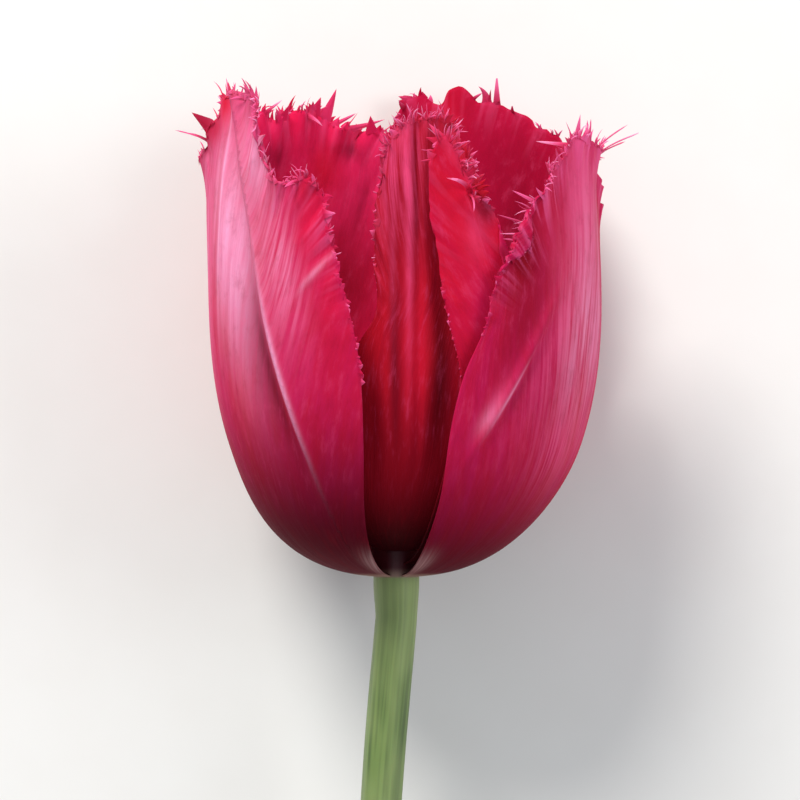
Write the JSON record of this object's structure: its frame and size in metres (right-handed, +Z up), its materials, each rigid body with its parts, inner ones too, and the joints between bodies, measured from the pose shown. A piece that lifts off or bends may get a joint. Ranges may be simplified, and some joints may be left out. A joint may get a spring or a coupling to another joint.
{
  "type": "pacific pearl tulip",
  "caption": "Single cut fringed tulip in crimson and pink, lying down, with its cupped bloom, stem and narrow leaves.",
  "frame": {"origin": "the spot on the belly of the back petal that the lying bloom rests on, at the table top", "axes": "+Y towards the bloom's tip along the flower, +Z up out of the table towards the bloom's front, +X to the right of someone who looks down on the front with the bloom's tip away"},
  "size_m": [0.073, 0.3202, 0.0596],
  "materials": {
    "outer_petal": "satin petal skin, crimson with pale pink streaks along its veins",
    "inner_petal": "satin petal skin, deep crimson red",
    "stem_skin": "smooth waxy green",
    "leaf_skin": "waxy blue-green with fine lengthwise veins",
    "ovary_skin": "smooth yellow-green",
    "stigma_skin": "matt pale yellow with fine bumps",
    "filament_skin": "smooth dark purple",
    "anther_skin": "matt near-black pollen"
  },
  "bodies": {
    "root": {"petal_outer_left": "outer_petal", "petal_outer_right": "outer_petal", "petal_outer_back": "outer_petal", "petal_inner_left": "inner_petal", "petal_inner_right": "inner_petal", "petal_inner_front": "inner_petal", "ovary": "ovary_skin", "stigma": "stigma_skin", "filament_1": "filament_skin", "filament_2": "filament_skin", "filament_3": "filament_skin", "filament_4": "filament_skin", "filament_5": "filament_skin", "filament_6": "filament_skin", "anther_1": "anther_skin", "anther_2": "anther_skin", "anther_3": "anther_skin", "anther_4": "anther_skin", "anther_5": "anther_skin", "anther_6": "anther_skin", "stem": "stem_skin", "leaf_lower": "leaf_skin", "leaf_upper": "leaf_skin"}
  },
  "joints": []
}
